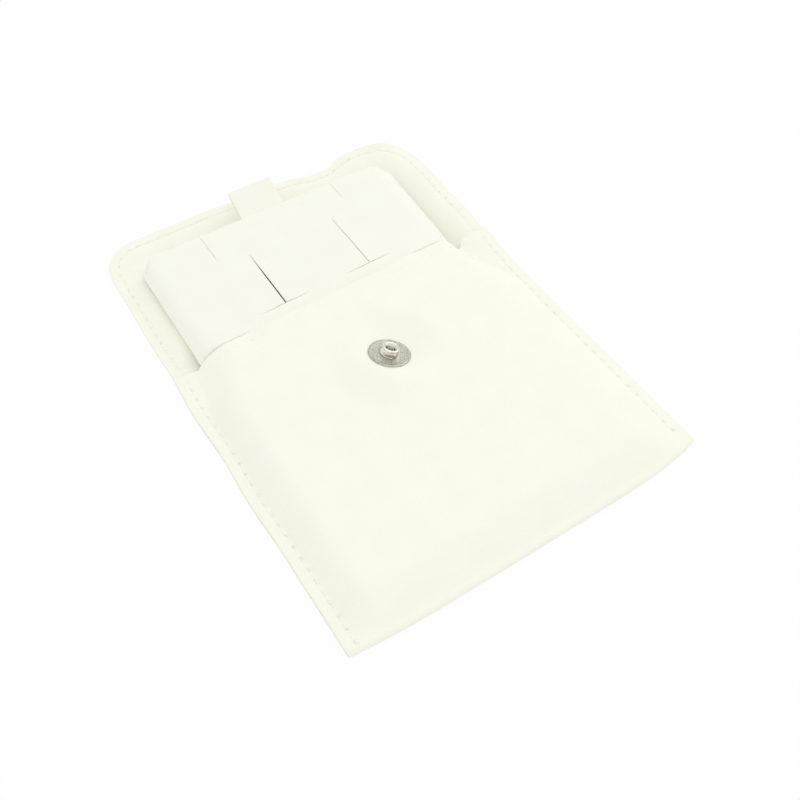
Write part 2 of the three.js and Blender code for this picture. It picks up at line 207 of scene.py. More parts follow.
def smooth_step(value):
    """0 to 1 with level ends."""
    t = min(1.0, max(0.0, value))
    return t * t * (3 - 2 * t)


def shoulder(value):
    """0 to 1: a short fillet, then a slope that levels off like the top of a wave."""
    t = min(1.0, max(0.0, value))
    return math.sin(math.pi / 2 * t * t * 1.08 / (t + 0.08))


def ripple(x, y, size, seed):
    """Gentle unevenness from -1 to 1 of a given size in millimetres, the same on every run."""
    return noise.noise(Vector((x / size, y / size, seed)))


def mix(start, end, share):
    """A value between two others."""
    return start + (end - start) * share


def bottom_edge(x):
    """The fold bows out between the side seams, a little more on the right, and turns in at its ends."""
    share = x / HALF_WIDTH
    return -(BOTTOM_BOW + 0.6 * share) * (1 - abs(share) ** 5)


def pad_top(y):
    """Height of the top of the pad's plane, which slides up and down its own slope."""
    return PAD_FLOOR + (y - PAD_HOME) * math.tan(PAD_TILT) + PAD_THICKNESS


def mouth_edge(x):
    """The mouth's edge runs up a little to the right, and dips where it drops off the pad's sides."""
    return (MOUTH_Y + 0.3 * smooth_step((-x - 20) / 6) + 1.1 * smooth_step((x - 12) / 12)
            - 2.0 * math.exp(-((x - 35.2) / 1.7) ** 4) - 0.9 * math.exp(-((x + 39.2) / 1.1) ** 2))


def press(x):
    """0 to 1: how firmly the mouth's edge presses into the pad, which it does towards the pad's sides."""
    return smooth_step((-x - 20.5) / 6) + smooth_step((x - 18.5) / 6)


def margin_lift(x, y):
    """The right margin curls up off the table from half way up the pocket, and on along the flap."""
    rise = 0.4 * smooth_step((y - 44) / 14) + 2.7 * smooth_step((y - 61) / 29)
    return rise * smooth_step((x - 33.5) / 9) * (1 - 0.45 * smooth_step((y - 110) / 16))


def front_height(x, y):
    """Outside of the front panel: low on the seams, and lifted over the pad, which it hugs at the mouth."""
    at_mouth = smooth_step((y - 58) / 19)
    left = (x + mix(42.6, 40.2, at_mouth)) / mix(7.0, 9.2, at_mouth)
    right = (mix(42.6, 35.8, at_mouth) - x) / mix(11.5, 5.0, at_mouth)
    start = bottom_edge(x) + FOLD_RADIUS
    lift = shoulder(left) * shoulder(right) * shoulder((y - start) / 8.8)
    dx, dy = x - STUD_SPOT[0], y - STUD_SPOT[1]
    reach = math.hypot(dx, dy)
    under_stud = 1 - smooth_step((reach - STUD_RADIUS - 0.4) / 9.5)
    ripples = 0.16 * ripple(x, y, 26, 3) + 0.07 * ripple(x, y, 9, 5)
    crown = (0.18 + ripples * (1 - under_stud)) * (1 - 0.6 * at_mouth)
    off_pad = 0.1 + crown - 0.6 * press(x) * smooth_step((y - 70) / 8)
    stand = pad_top(mix(y, STUD_SPOT[1], under_stud)) + TWO_LAYERS + off_pad - SEAM_TOP
    within = min(1.0, STUD_RADIUS / max(reach, 0.01))
    lean = STUD_LIFT - within * (STUD_LEAN.x * dx + STUD_LEAN.y * dy) / STUD_LEAN.z
    return SEAM_TOP + margin_lift(x, y) * (1 - lift) + lift * (stand + under_stud * lean)


def flap_end(x):
    """Far edge of the flap, drawn in a little where it dips on the right of the tab."""
    return FLAP_END - 0.2 * smooth_step((x + 5) / 30) - 1.9 * math.exp(-abs((x - 20.3) / 6.4) ** 3)


def flap_half_width(side, y, end):
    """Half the flap's width on one side, less at its round corner."""
    corner = FLAP_CORNERS[side]
    into = y - (end - corner)
    if into <= 0:
        return HALF_WIDTH
    return HALF_WIDTH - corner + math.sqrt(max(0.0, corner ** 2 - into ** 2))


def side_shift(x, y):
    """How far a place lies to the right of its straight line. The left edge and the flap's right bow out."""
    wave = 0.55 + 0.25 * math.cos(2 * math.pi * (y - 97) / 29)
    bow = wave * math.sin(math.pi * min(1.0, max(0.0, (y - 10) / 104)))
    spread = 0.45 * smooth_step((y - 80) / 8)
    spread += 0.5 * smooth_step((y - 96) / 10) * (1 - 0.7 * smooth_step((y - 112) / 10))
    return spread * smooth_step((x - 34) / 12) - bow * smooth_step((-x - 32) / 13)


def back_lift(x, y):
    """Height of the cloth's underside above the table. It rises at the flap's end and by the pad's left side,
    and is flat round the snap."""
    end = smooth_step((y - 117) / 11)
    left_end = 0.5 * end * (1 - smooth_step((x - 4) / 9))
    right_end = 1.0 * end * smooth_step((x - 23) / 9)
    beside_pad = smooth_step((x + 44.5) / 6) * (1 - smooth_step((x + 34) / 9))
    bed = 1.05 * beside_pad * smooth_step((y - 80) / 8) * (1 - smooth_step((y - 111) / 10))
    flat = smooth_step((y - 84) / 8) * (0.1 + 0.1 * ripple(x, y, 17, 11))
    off_snap = smooth_step((math.hypot(x - CAP_SPOT[0], y - CAP_SPOT[1]) - CAP_RADIUS) / 7)
    return margin_lift(x, y) + off_snap * (left_end + right_end + bed + flat)


def slope_normal(height, x, y):
    """Unit normal of a height surface."""
    step = 0.05
    along_x = (height(x + step, y) - height(x - step, y)) / (2 * step)
    along_y = (height(x, y + step) - height(x, y - step)) / (2 * step)
    return Vector((-along_x, -along_y, 1)).normalized()


def even_walk(line, pitch):
    """Places a pitch apart along a line of points."""
    places, ahead = [line[0]], pitch
    for start, end in zip(line, line[1:]):
        length = (end - start).length
        while ahead <= length:
            places.append(start.lerp(end, ahead / length))
            ahead += pitch
        ahead -= length
    return places


def stitch_row(line, groove, hole):
    """A row of stitch holes, with how deep its thread draws the cloth in along the line and at a hole."""
    places = even_walk(line, STITCH_PITCH)
    tree = kdtree.KDTree(len(places))
    for index, place in enumerate(places):
        tree.insert(place, index)
    tree.balance()
    return {"places": places, "tree": tree, "groove": groove, "hole": hole}


def relief(row, x, y):
    """How far a row of stitches draws the cloth in at a place."""
    here = Vector((x, y, 0))
    nearest, index, off_hole = row["tree"].find(here)
    if off_hole > 2.5:
        return 0.0
    off_line = off_hole
    for other in row["places"][max(0, index - 1):index + 2]:
        if (other - nearest).length > 0.1:
            foot, share = geometry.intersect_point_line(here, nearest, other)
            if share > 0:
                off_line = min(off_line, (here - foot).length)
    return row["groove"] * math.exp(-(off_line / 0.7) ** 2) + row["hole"] * math.exp(-(off_hole / 0.35) ** 2)


edge_line = [Vector((-SEAM_X, 1.5, 0))]
for side in (-1, 1):
    corner = FLAP_CORNERS[side]
    run = corner - SEAM_INSET
    turns = [math.pi / 2 * i / 12 for i in range(13)]
    centre = HALF_WIDTH - corner
    arc = [(side * (centre + run * math.cos(turn)), run * math.sin(turn) - corner) for turn in turns]
    top = [(2.0 * i, -SEAM_INSET) for i in range(-16, 16)] if side < 0 else []
    for x, from_end in arc[::-side] + top:
        edge_line.append(Vector((x, flap_end(x) + from_end, 0)))
edge_line.append(Vector((SEAM_X, 1.5, 0)))
EDGE_ROW = stitch_row(edge_line, 0.06, 0.36)
MOUTH_HEM = 2.2
mouth_line = [Vector((side * (HALF_WIDTH - 7), MOUTH_Y - MOUTH_HEM, 0)) for side in (-1, 1)]
MOUTH_ROW = stitch_row(mouth_line, 0.02, 0.12)


def surface_place(face, x, y, depth):
    """A place at a depth in from the outside of the front or of the back and flap, and its way out."""
    height = front_height if face == "front" else back_lift
    out = slope_normal(height, x, y) * (1 if face == "front" else -1)
    return Vector((x + side_shift(x, y), y, height(x, y))) - out * depth, out


def strip_point(x, row, depth):
    """A point of the strip at a depth in from its outside, and the strip's length up to it."""
    panel, share = row
    tangent = bottom_edge(x) + FOLD_RADIUS
    front_length = mouth_edge(x) - tangent
    fold_length = math.pi * FOLD_RADIUS
    if panel == "front":
        y = tangent + (1 - share) * front_length
        drawn_in = relief(EDGE_ROW, x, y) + relief(MOUTH_ROW, x, y)
        return surface_place("front", x, y, depth + drawn_in)[0], share * front_length
    if panel == "fold":
        angle = math.pi * (1 - share)
        radius = FOLD_RADIUS - depth
        place = Vector((x, tangent - radius * math.sin(angle), FOLD_RADIUS - radius * math.cos(angle)))
        return place, front_length + share * fold_length
    flat_x = x
    if panel == "back":
        y = mix(tangent, CREASE_Y[0], share)
    elif panel == "crease":
        y = mix(CREASE_Y[0], CREASE_Y[1], share)
    else:
        y = mix(CREASE_Y[1], flap_end(x), share)
        core = HALF_WIDTH - FLAP_CORNERS[1] - 6
        if abs(x) > core:
            half = flap_half_width(1 if x > 0 else -1, y, flap_end(x))
            flat_x = math.copysign(core + (abs(x) - core) * (half - core) / (HALF_WIDTH - core), x)
    drawn_in = relief(EDGE_ROW, flat_x, y) * (1 if depth < TWO_LAYERS / 2 else -1)
    if depth < TWO_LAYERS / 2:
        off_cap = math.hypot(flat_x - CAP_SPOT[0], y - CAP_SPOT[1]) - CAP_RADIUS
        drawn_in += CAP_SEAT * (1 - smooth_step(off_cap / 0.6))
    place = surface_place("back", flat_x, y, depth + drawn_in)[0]
    return place, front_length + fold_length + y - tangent


def even_shares(length, cell):
    """Shares from just past 0 to 1 in steps of about a cell."""
    steps = max(1, round(length / cell))
    return [(i + 1) / steps for i in range(steps)]


STRIP_ROWS = (
    [("front", 0.0)]
    + [("front", share) for share in even_shares(MOUTH_Y, CELL)]
    + [("fold", share) for share in even_shares(math.pi * FOLD_RADIUS, 0.4)]
    + [("back", share) for share in even_shares(CREASE_Y[0], 2 * CELL)]
    + [("crease", share) for share in even_shares(CREASE_Y[1] - CREASE_Y[0], 0.25)]
    + [("flap", share) for share in even_shares(FLAP_END - CREASE_Y[1], CELL * 0.8)]
)
MARGIN = 5.0
MARGIN_STEPS = 13
MIDDLE_STEPS = 90
STRIP_COLUMNS = (
    [-HALF_WIDTH + MARGIN * i / MARGIN_STEPS for i in range(MARGIN_STEPS)]
    + [(HALF_WIDTH - MARGIN) * (2 * i / MIDDLE_STEPS - 1) for i in range(MIDDLE_STEPS + 1)]
    + [HALF_WIDTH - MARGIN + MARGIN * (i + 1) / MARGIN_STEPS for i in range(MARGIN_STEPS)]
)
UV_METRES = 0.1


def cloth_strip(name, layer, material):
    """One layer of the envelope as a grid laid along the strip, thickened, its cut edge softened."""
    top, thickness = LAYERS[layer]
    bm = bmesh.new()
    columns, rows = len(STRIP_COLUMNS) - 1, len(STRIP_ROWS) - 1
    bmesh.ops.create_grid(bm, x_segments=columns, y_segments=rows, size=1)
    uv = bm.loops.layers.uv.new("cloth")
    length_at = {}
    for vert in bm.verts:
        x = STRIP_COLUMNS[round((vert.co.x + 1) / 2 * columns)]
        row = STRIP_ROWS[round((vert.co.y + 1) / 2 * rows)]
        place, length = strip_point(x, row, top + thickness / 2)
        vert.co = spot(*place)
        length_at[vert] = (x, length)
    for face in bm.faces:
        for loop in face.loops:
            x, length = length_at[loop.vert]
            loop[uv].uv = (x / 1000 / UV_METRES, length / 1000 / UV_METRES)
    bmesh.ops.recalc_face_normals(bm, faces=bm.faces)
    piece = mesh_piece(name, bm, material)
    solid = piece.modifiers.new("thickness", "SOLIDIFY")
    solid.thickness = thickness / 1000
    solid.offset = 0
    edge = piece.modifiers.new("cut edge", "BEVEL")
    edge.width = 0.00012
    edge.segments = 2
    edge.limit_method = "ANGLE"
    edge.angle_limit = math.radians(50)
    return piece


def microfibre(name, base, shade_colour, nap_mm):
    """Brushed microfibre: matt, with a soft nap that catches light at a glance and mottles a little.
    The real nap is finer than a tenth of a millimetre, and is drawn coarser so that it shows."""
    material, tree, output = new_material(name)
    place = add_node(tree, "ShaderNodeUVMap", uv_map="cloth")
    per_mm = UV_METRES * 1000
    patches = add_node(tree, "ShaderNodeTexNoise", {"Scale": per_mm / 6, "Detail": 3.0},
                       {"Vector": (place, 0)}, noise_dimensions="2D")
    nap = add_node(tree, "ShaderNodeTexNoise", {"Scale": per_mm / nap_mm, "Detail": 4.0, "Roughness": 0.65},
                   {"Vector": (place, 0)}, noise_dimensions="2D")
    blend = add_node(tree, "ShaderNodeMath", {1: 0.3}, {0: (patches, 0)}, operation="MULTIPLY")
    both = add_node(tree, "ShaderNodeMath", {1: 0.7}, {0: (nap, 0), 2: (blend, 0)}, operation="MULTIPLY_ADD")
    tint = add_node(tree, "ShaderNodeValToRGB", {}, {0: (both, 0)})
    tint.color_ramp.elements[0].position = 0.35
    tint.color_ramp.elements[0].color = hex_colour(shade_colour)
    tint.color_ramp.elements[1].position = 0.62
    tint.color_ramp.elements[1].color = hex_colour(base)
    bump = add_node(tree, "ShaderNodeBump", {"Strength": 0.35, "Distance": 0.00008}, {"Height": (nap, 0)})
    cloth = add_node(
        tree, "ShaderNodeBsdfPrincipled",
        {"Roughness": 0.92, "Specular IOR Level": 0.25, "Sheen Weight": 0.25, "Sheen Roughness": 0.5},
        {"Base Color": (tint, 0), "Normal": (bump, 0)},
    )
    tree.links.new(cloth.outputs[0], output.inputs["Surface"])
    return material


outer_microfibre = microfibre("outer microfibre", "#fafbee", "#f7f8e9", 0.32)
outer_cloth = cloth_strip("outer_cloth", "outer", outer_microfibre)
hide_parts("outer_shell", "crease_outer", "flap_outer")
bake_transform(outer_cloth)


# Lining: a second strip of the same cloth, sewn in inside the first. It shows inside the mouth and
# all over the open flap.
lining_microfibre = microfibre("lining microfibre", "#fafbee", "#f6f7e7", 0.36)
lining_cloth = cloth_strip("lining_cloth", "lining", lining_microfibre)
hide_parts("shell_lining", "crease_lining", "flap_lining")
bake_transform(lining_cloth)


# Stitches: ivory polyester thread, lock stitched 2.4 mm in from the side and flap edges, and along the
# mouth. Each stitch lies flat on the cloth between two holes. The twist gives the thread a fine mottle.
STITCH_SIZE = (0.0013, 0.0002, 0.0001)


def lay_stitches(bm, face, row, seen, depth):
    """Stitches between neighbouring holes of a row, where both lie on the part of the cloth that is seen."""
    for start, end in zip(row["places"], row["places"][1:]):
        if not (seen(start) and seen(end)):
            continue
        middle = start.lerp(end, 0.5)
        place, out = surface_place(face, middle.x, middle.y, depth)
        along = surface_place(face, end.x, end.y, depth)[0] - surface_place(face, start.x, start.y, depth)[0]
        along.normalize()
        beside = out.cross(along).normalized()
        turn = Matrix((along, beside, along.cross(beside))).transposed().to_4x4()
        size = Matrix.Diagonal((*STITCH_SIZE, 1))
        bmesh.ops.create_uvsphere(bm, u_segments=8, v_segments=6, radius=1,
                                  matrix=Matrix.Translation(spot(*place)) @ turn @ size
                                  @ Matrix.Rotation(math.pi / 2, 4, "Y"))


stitches_bm = bmesh.new()
lay_stitches(stitches_bm, "front", EDGE_ROW, lambda place: place.y < MOUTH_Y - 0.3, 0.05)
lay_stitches(stitches_bm, "front", MOUTH_ROW, lambda place: True, 0.06)
lay_stitches(stitches_bm, "back", EDGE_ROW, lambda place: place.y > MOUTH_Y + 0.3, TWO_LAYERS - 0.05)
lay_stitches(stitches_bm, "back", EDGE_ROW, lambda place: True, 0.11)

thread_paint, tree, output = new_material("ivory polyester thread")
place = add_node(tree, "ShaderNodeTexCoord")
twist = add_node(tree, "ShaderNodeTexNoise", {"Scale": 4000.0, "Detail": 2.0}, {"Vector": (place, "Object")})
tint = add_node(tree, "ShaderNodeValToRGB", {}, {0: (twist, 0)})
tint.color_ramp.elements[0].color = hex_colour("#f7f7e8")
tint.color_ramp.elements[1].color = hex_colour("#fdfdf3")
thread = add_node(tree, "ShaderNodeBsdfPrincipled", {"Roughness": 0.55, "Sheen Weight": 0.2},
                  {"Base Color": (tint, 0)})
tree.links.new(thread.outputs[0], output.inputs["Surface"])
seam_thread = mesh_piece("seam_thread", stitches_bm, thread_paint)
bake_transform(seam_thread)


# Display pad: soft foam glued on board and wrapped in microfibre, which is pulled tight over the
# edges. Two slits with a cross bar at the foot hold a chain, and two short ones open at the tip. The
# cut foam inside the slits is painted darker and tan as painted shade, which draws them as fine dark lines.
PAD_EDGE = 0.7
PAD_CORNER = 5.5
PAD_FOOT = -0.15
PAD_UNDER = 0.42
PAD_DRAWN_OUT = 36.0
PAD_SLOPE = Matrix.Rotation(PAD_TILT, 4, "X")
SLIT_FOOT = 42.0
SLIT_TOP = 61.1
SLIT_DEPTH = 2.0
SLIT_X = (-10.8, 13.7)
EDGE_SLITS = {-18.7: 64.6, 20.3: 66.0}
BAR_HALF = 6.2
MOUTH_ON_PAD = MOUTH_Y - PAD_HOME - PAD_DRAWN_OUT * math.cos(PAD_TILT)


def pad_spot(x, y, z):
    """A point of the pad, in millimetres from the middle of its lower edge, in the frame."""
    return spot(PAD_CENTRE_X, PAD_HOME + PAD_DRAWN_OUT * math.cos(PAD_TILT),
                PAD_FLOOR + PAD_DRAWN_OUT * math.sin(PAD_TILT)) + PAD_SLOPE @ Vector((x, y, z)) / 1000


def stations(start, end, cuts, cell, gap, lip):
    """Places from start to end about a cell apart, with five close together at each cut."""
    places = {}
    for cut in cuts:
        for kind, offset in (("lip", gap), ("roll", gap + lip), ("near", gap + 3 * lip)):
            places[cut - offset] = (kind, cut)
            places[cut + offset] = (kind, cut)
        places[cut] = ("cut", cut)
    steps = round((end - start) / cell)
    for i in range(steps + 1):
        value = start + (end - start) * i / steps
        if all(abs(value - cut) > gap + 3.6 * lip for cut in cuts):
            places[value] = ("plain", None)
    return sorted((value, *kind) for value, kind in places.items())


SLIT_GAP = 0.2
SLIT_LIP = 0.16
LIP_WIDTH = 0.2
pad_columns = stations(-PAD_WIDTH / 2 + PAD_EDGE, PAD_WIDTH / 2 - PAD_EDGE, SLIT_X + tuple(EDGE_SLITS),
                       0.85, SLIT_GAP, SLIT_LIP)
even_rows = stations(PAD_EDGE, PAD_LENGTH - PAD_EDGE, (SLIT_FOOT,), 0.85, SLIT_GAP, SLIT_LIP)
ROLL_ROWS = (-0.4, 0.0, 0.1, 0.18, 0.26, 0.34, 0.42, 0.5, 0.65, 0.85)
pad_rows = sorted(
    [row for row in even_rows if not -0.8 < row[0] - MOUTH_ON_PAD < 1.2]
    + [(MOUTH_ON_PAD + step, "plain", None) for step in ROLL_ROWS]
)


def slit_opening(x, y):
    """0 to 1: how wide a long slit gapes. It is widest at its foot, and the right one hardly opens."""
    share = 1 - smooth_step((y - SLIT_TOP + 10) / 10)
    return share * (1.0 if x < 0 else 0.15)


def pad_surface(x, y):
    """Height of the pad's top over its backing: level in the middle, with round shoulders at the sides
    that the pocket squeezes flatter."""
    behind = y - MOUTH_ON_PAD
    free = 0.6 * smooth_step(behind / 0.8) + 0.4 * smooth_step(behind / 7)
    roll = 0.55 * smooth_step((behind - 0.1) / 0.35) * (1 - smooth_step((behind - 0.6) / 4))
    squeezed = 0.6 * smooth_step((behind + 8) / 8) * (1 - smooth_step((behind - 0.1) / 0.35))
    into = min(1.0, max(0.0, PAD_WIDTH / 2 - abs(x)) / mix(7.0, 4.0, free))
    side = math.sin(math.pi / 2 * into) ** mix(1.2, 0.6, free)
    end = 0.75 + 0.25 * math.sin(math.pi / 2 * min(1.0, max(0.0, min(y, PAD_LENGTH - y)) / 3))
    lift = 0
    for cut in SLIT_X:
        beside = math.exp(-((x - cut) / 2.2) ** 2) * smooth_step((y - SLIT_FOOT + 5) / 6)
        lift += 0.16 * beside * (1 - smooth_step((y - SLIT_FOOT - 6) / 13))
    pressed = 0.6 * math.exp(-(math.hypot(x - 4.6, y - 15.0) / 6) ** 2)
    at_ends = press(x + PAD_CENTRE_X) * smooth_step(into * 2)
    top = 0.1 + (PAD_THICKNESS - 0.1) * side * end + at_ends * (roll - squeezed)
    return top + lift - pressed + 0.04 * ripple(x, y, 11, 21)


def rounded(x, y):
    """A place of the square grid moved so that the grid's corners are round."""
    core_x = PAD_WIDTH / 2 - PAD_CORNER
    core_y = PAD_LENGTH / 2 - PAD_CORNER
    reach = PAD_CORNER - PAD_EDGE
    u = (abs(x) - core_x) / reach
    v = (abs(y - PAD_LENGTH / 2) - core_y) / reach
    if u <= 0 or v <= 0:
        return x, y
    side_x, side_y = math.copysign(1, x), math.copysign(1, y - PAD_LENGTH / 2)
    new_u = u * math.sqrt(max(0, 1 - v * v / 2))
    new_v = v * math.sqrt(max(0, 1 - u * u / 2))
    return side_x * (core_x + reach * new_u), PAD_LENGTH / 2 + side_y * (core_y + reach * new_v)


bm = bmesh.new()
columns, rows = len(pad_columns) - 1, len(pad_rows) - 1
bmesh.ops.create_grid(bm, x_segments=columns, y_segments=rows, size=1)
flat_place = {}
slit_floor = set()
for vert in bm.verts:
    x, x_kind, x_cut = pad_columns[round((vert.co.x + 1) / 2 * columns)]
    y, y_kind, y_cut = pad_rows[round((vert.co.y + 1) / 2 * rows)]
    in_long = x_cut in SLIT_X and SLIT_FOOT - 0.01 <= y <= SLIT_TOP
    in_edge = x_cut in EDGE_SLITS and y >= EDGE_SLITS[x_cut]
    in_bar = y_cut is not None and any(abs(x - cut) <= BAR_HALF for cut in SLIT_X)
    z = pad_surface(x, y)
    if in_long and x_kind in ("lip", "roll"):
        opening = 0.03 + 0.13 * slit_opening(x, y)
        x = x_cut + math.copysign(opening + (0 if x_kind == "lip" else LIP_WIDTH), x - x_cut)
        z -= 0.1 if x_kind == "lip" else 0.02
    if in_edge and x_kind in ("lip", "roll"):
        opening = 0.022 if x < 0 else 0.012
        x = x_cut + math.copysign(opening + (0 if x_kind == "lip" else LIP_WIDTH), x - x_cut)
        z -= 0.08 if x_kind == "lip" else 0.02
    if in_bar and y_kind in ("lip", "roll"):
        nearest = min(SLIT_X, key=lambda cut: abs(x - cut))
        taper = 1 - abs(x - nearest) / BAR_HALF
        opening = 0.008 + 0.035 * taper
        y = y_cut + math.copysign(opening + (0 if y_kind == "lip" else LIP_WIDTH), y - y_cut)
        z -= 0.08 if y_kind == "lip" else 0.02
    from_end = max(
        SLIT_TOP - y if in_long and x_kind == "cut" else -1.0,
        y - EDGE_SLITS[x_cut] if in_edge and x_kind == "cut" else -1.0,
        BAR_HALF - min(abs(x - cut) for cut in SLIT_X) if in_bar and y_kind == "cut" else -1.0,
    )
    if from_end >= 0:
        z -= SLIT_DEPTH * min(1.0, 0.06 + from_end / 1.5)
        slit_floor.add(vert)
    y += (mouth_edge(x + PAD_CENTRE_X) - MOUTH_Y) * math.exp(-((y - MOUTH_ON_PAD) / 3) ** 2)
    y += 0.02 * x * smooth_step((y - 38) / 4) * (1 - smooth_step((y - 64) / 9))
    x, y = rounded(x, y)
    flat_place[vert] = (x, y, z, in_edge and x_kind == "cut")
    vert.co = (x, y, z)
# Faces in the slits take the darkened foam, which is painted shade in the slits.
for face in bm.faces:
    face.material_index = 1 if len(slit_floor & set(face.verts)) > 1 else 0
rim = [edge for edge in bm.edges if edge.is_boundary]


def outward(x, y):
    """Direction out of the pad's rounded outline, seen from above."""
    core = Vector((
        max(-PAD_WIDTH / 2 + PAD_CORNER, min(PAD_WIDTH / 2 - PAD_CORNER, x)),
        max(PAD_CORNER, min(PAD_LENGTH - PAD_CORNER, y)),
    ))
    away = Vector((x, y)) - core
    return away.normalized() if away.length > 1e-6 else Vector((0, 0))


rim_turns = [math.pi * (i + 1) / 8 for i in range(8)]
PAD_RIM = (
    [(PAD_EDGE * math.sin(turn), (1 - math.cos(turn)) / 2, 0.0) for turn in rim_turns]
    + [(-1.3, 1.0, 0.3), (-2.4, 1.0, PAD_UNDER - PAD_FOOT)]
)
origin_of = {vert: vert for edge in rim for vert in edge.verts}
for out, down, above_foot in PAD_RIM:
    made = bmesh.ops.extrude_edge_only(bm, edges=rim)["geom"]
    rim = [item for item in made if isinstance(item, bmesh.types.BMEdge) and item.is_boundary]
    new_verts = {vert for edge in rim for vert in edge.verts}
    sources = {}
    for vert in new_verts:
        below = [edge.other_vert(vert) for edge in vert.link_edges]
        source = next(v for v in below if v in origin_of and v not in new_verts)
        sources[vert] = origin_of[source]
    for vert, source in sources.items():
        x, y, z, notched = flat_place[source]
        direction = outward(x, y)
        reach = -1.2 if notched and down < 0.9 else out
        vert.co = (x + direction.x * reach, y + direction.y * reach, mix(z, PAD_FOOT, down) + above_foot)
    origin_of = sources
bmesh.ops.contextual_create(bm, geom=rim)
bmesh.ops.triangulate(bm, faces=[face for face in bm.faces if len(face.verts) > 4])
uv = bm.loops.layers.uv.new("cloth")
for face in bm.faces:
    for loop in face.loops:
        co = loop.vert.co
        loop[uv].uv = (co.x / 1000 / UV_METRES, (co.y - (PAD_THICKNESS - co.z)) / 1000 / UV_METRES)
for vert in bm.verts:
    flare = 2.0 * smooth_step((vert.co.x - 22) / 14) * max(0.0, (vert.co.y - 37) / 38)
    vert.co = pad_spot(vert.co.x + flare, vert.co.y, vert.co.z)
bmesh.ops.recalc_face_normals(bm, faces=bm.faces)
pad_microfibre = microfibre("pad microfibre", "#f9faee", "#f6f7e9", 0.3)
# The tan here is darker than the foam's own cream. It is painted shade for the depth of the slits, on top of
# the foam's fine cell mottle.
foam_painted_slit_shade, tree, output = new_material("cut foam with painted slit shade")
place = add_node(tree, "ShaderNodeTexCoord")
cells = add_node(tree, "ShaderNodeTexNoise", {"Scale": 5000.0, "Detail": 2.0}, {"Vector": (place, "Object")})
tint = add_node(tree, "ShaderNodeValToRGB", {}, {0: (cells, 0)})
tint.color_ramp.elements[0].color = hex_colour("#9a8a63")
tint.color_ramp.elements[1].color = hex_colour("#b7a880")
foam = add_node(tree, "ShaderNodeBsdfPrincipled", {"Roughness": 0.95}, {"Base Color": (tint, 0)})
tree.links.new(foam.outputs[0], output.inputs["Surface"])
display_pad = mesh_piece("display_pad", bm, pad_microfibre)
display_pad.data.materials.append(foam_painted_slit_shade)
for face in display_pad.data.polygons:
    face.use_smooth = face.material_index == 0
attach(display_pad, "pad")
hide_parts("pad_cover", "pad_foam")


# Board and backing of the pad: grey pulp board, cut narrower than the pad so that its sides stay soft,
# and matt paper glued over the turned-in cloth.
board, tree, output = new_material("grey pulp board")
place = add_node(tree, "ShaderNodeTexCoord")
fibres = add_node(tree, "ShaderNodeTexNoise", {"Scale": 900.0, "Detail": 4.0}, {"Vector": (place, "Object")})
tint = add_node(tree, "ShaderNodeValToRGB", {}, {0: (fibres, 0)})
tint.color_ramp.elements[0].color = hex_colour("#85775e")
tint.color_ramp.elements[1].color = hex_colour("#a09274")
pulp = add_node(tree, "ShaderNodeBsdfPrincipled", {"Roughness": 0.85}, {"Base Color": (tint, 0)})
tree.links.new(pulp.outputs[0], output.inputs["Surface"])

paper, tree, output = new_material("matt backing paper")
place = add_node(tree, "ShaderNodeTexCoord")
fibres = add_node(tree, "ShaderNodeTexNoise", {"Scale": 700.0, "Detail": 5.0}, {"Vector": (place, "Object")})
tint = add_node(tree, "ShaderNodeValToRGB", {}, {0: (fibres, 0)})
tint.color_ramp.elements[0].color = hex_colour("#ece9da")
tint.color_ramp.elements[1].color = hex_colour("#f4f2e6")
bump = add_node(tree, "ShaderNodeBump", {"Strength": 0.2, "Distance": 0.00004}, {"Height": (fibres, 0)})
sheet_paper = add_node(tree, "ShaderNodeBsdfPrincipled", {"Roughness": 0.75},
                       {"Base Color": (tint, 0), "Normal": (bump, 0)})
tree.links.new(sheet_paper.outputs[0], output.inputs["Surface"])


def dress(node, material):
    """Gives a CAD node's object its finish."""
    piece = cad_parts[node]
    piece.data.materials.clear()
    piece.data.materials.append(material)


BOARD_SIZE = (PAD_WIDTH - 7.2, PAD_LENGTH - 2.4, 0.8)
BOARD_FOOT = 1.0
bm = bmesh.new()
bmesh.ops.create_cube(bm, size=1)
for vert in bm.verts:
    vert.co = (vert.co.x * BOARD_SIZE[0], vert.co.y * BOARD_SIZE[1], vert.co.z * BOARD_SIZE[2])
upright = [edge for edge in bm.edges if abs(edge.verts[0].co.z - edge.verts[1].co.z) > 0.1]
bmesh.ops.bevel(bm, geom=upright, offset=2.0, offset_type="OFFSET", segments=6, profile=0.5,
                affect="EDGES", material=-1)
for vert in bm.verts:
    vert.co = pad_spot(vert.co.x, vert.co.y + PAD_LENGTH / 2, vert.co.z + BOARD_FOOT + BOARD_SIZE[2] / 2)
pulp_board = mesh_piece("pulp_board", bm, board)
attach(pulp_board, "pad")
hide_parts("pad_board")
dress("pad_backing", paper)


# Pull tab: a strip of the pad's cloth folded double and glued in at the middle of the tip. It stands
# up at a slant, and its two plies part a little at the fold.
TAB_WIDTH = 12.4
TAB_LENGTH = 8.4
TAB_PLY = 0.45
TAB_HALF = 0.55
TAB_RISE = math.radians(25)
TAB_SPOT = (0.1, PAD_LENGTH - 0.4, PAD_THICKNESS / 2 + 0.1)

